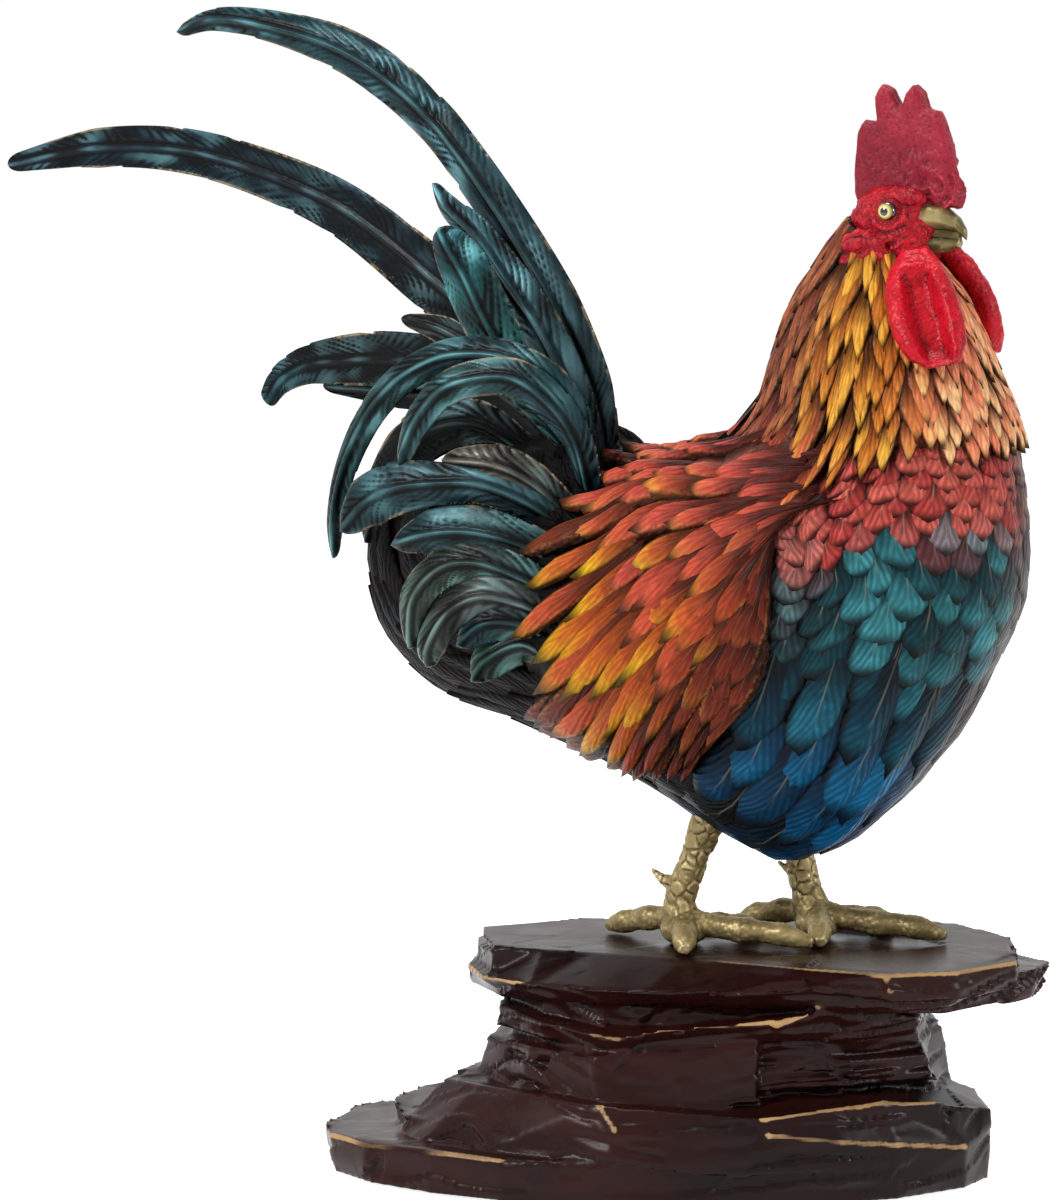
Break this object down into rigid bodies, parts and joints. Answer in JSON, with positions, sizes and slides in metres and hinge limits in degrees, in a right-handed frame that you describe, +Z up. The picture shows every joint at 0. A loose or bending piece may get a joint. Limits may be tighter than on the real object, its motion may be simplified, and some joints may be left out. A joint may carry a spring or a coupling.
{
  "type": "rooster figurine",
  "caption": "Free-standing painted copper rooster on a layered rock plinth, with long curved tail plumes, feathered neck cape, comb and wattles.",
  "frame": {"origin": "middle of the felt sheet's underside, on the surface that the figurine stands on", "axes": "+Z up; +X along the plinth's long side, towards the rooster's head; -Y towards the plinth's front, to which the bird is turned"},
  "size_m": [0.3297, 0.2338, 0.3503],
  "materials": {
    "plinth_paint": "semi-gloss dark red-brown over cast strata, rubbed back to gold on the edges",
    "cover_board": "matt pressed board, hidden under the felt",
    "felt": "matt black felt",
    "steel": "plain zinc-plated",
    "brass": "antique, dark in the hollows",
    "hackle_paint": "satin, streaked orange and yellow over red-brown",
    "breast_paint": "satin, maroon above, teal and blue below",
    "rump_paint": "satin near-black",
    "wing_paint": "satin, brick red at the roots to yellow tips",
    "tail_paint": "satin metallic teal with rubbed edges",
    "comb_paint": "semi-gloss bright red, darker on the comb",
    "eye_enamel": "gloss, cream-yellow with a black pupil"
  },
  "bodies": {
    "root": {"rock_plinth": "plinth_paint", "plinth_cover": "cover_board", "felt_sheet": "felt", "cover_screw_1": "steel", "cover_screw_2": "steel", "cover_screw_3": "steel", "cover_screw_4": "steel", "leg_stud_right": "steel", "leg_washer_right": "steel", "leg_nut_right": "steel", "leg_right": "brass", "leg_stud_left": "steel", "leg_washer_left": "steel", "leg_nut_left": "steel", "leg_left": "brass", "neck_cape": "hackle_paint", "breast_casting": "breast_paint", "rump_casting": "rump_paint", "wing_right": "wing_paint", "wing_left": "wing_paint", "sickle_upper": "tail_paint", "sickle_lower": "tail_paint", "sickle_short": "tail_paint", "main_tail_oval": "tail_paint", "side_plume_left": "tail_paint", "inner_plume_upper": "tail_paint", "inner_plume_middle": "tail_paint", "inner_plume_lower": "tail_paint", "arc_plume_outer": "tail_paint", "arc_plume_inner": "tail_paint", "covert_right_1": "tail_paint", "covert_right_2": "tail_paint", "covert_right_3": "tail_paint", "covert_right_4": "tail_paint", "covert_right_5": "tail_paint", "covert_right_6": "tail_paint", "covert_right_7": "tail_paint", "covert_left_1": "tail_paint", "covert_left_2": "tail_paint", "covert_left_3": "tail_paint", "covert_left_4": "tail_paint", "covert_left_5": "tail_paint", "covert_left_6": "tail_paint", "covert_left_7": "tail_paint", "head": "comb_paint", "comb": "comb_paint", "beak_upper": "brass", "beak_lower": "brass", "wattle_right": "comb_paint", "ear_lobe_right": "comb_paint", "eye_right": "eye_enamel", "wattle_left": "comb_paint", "ear_lobe_left": "comb_paint", "eye_left": "eye_enamel"}
  },
  "joints": []
}
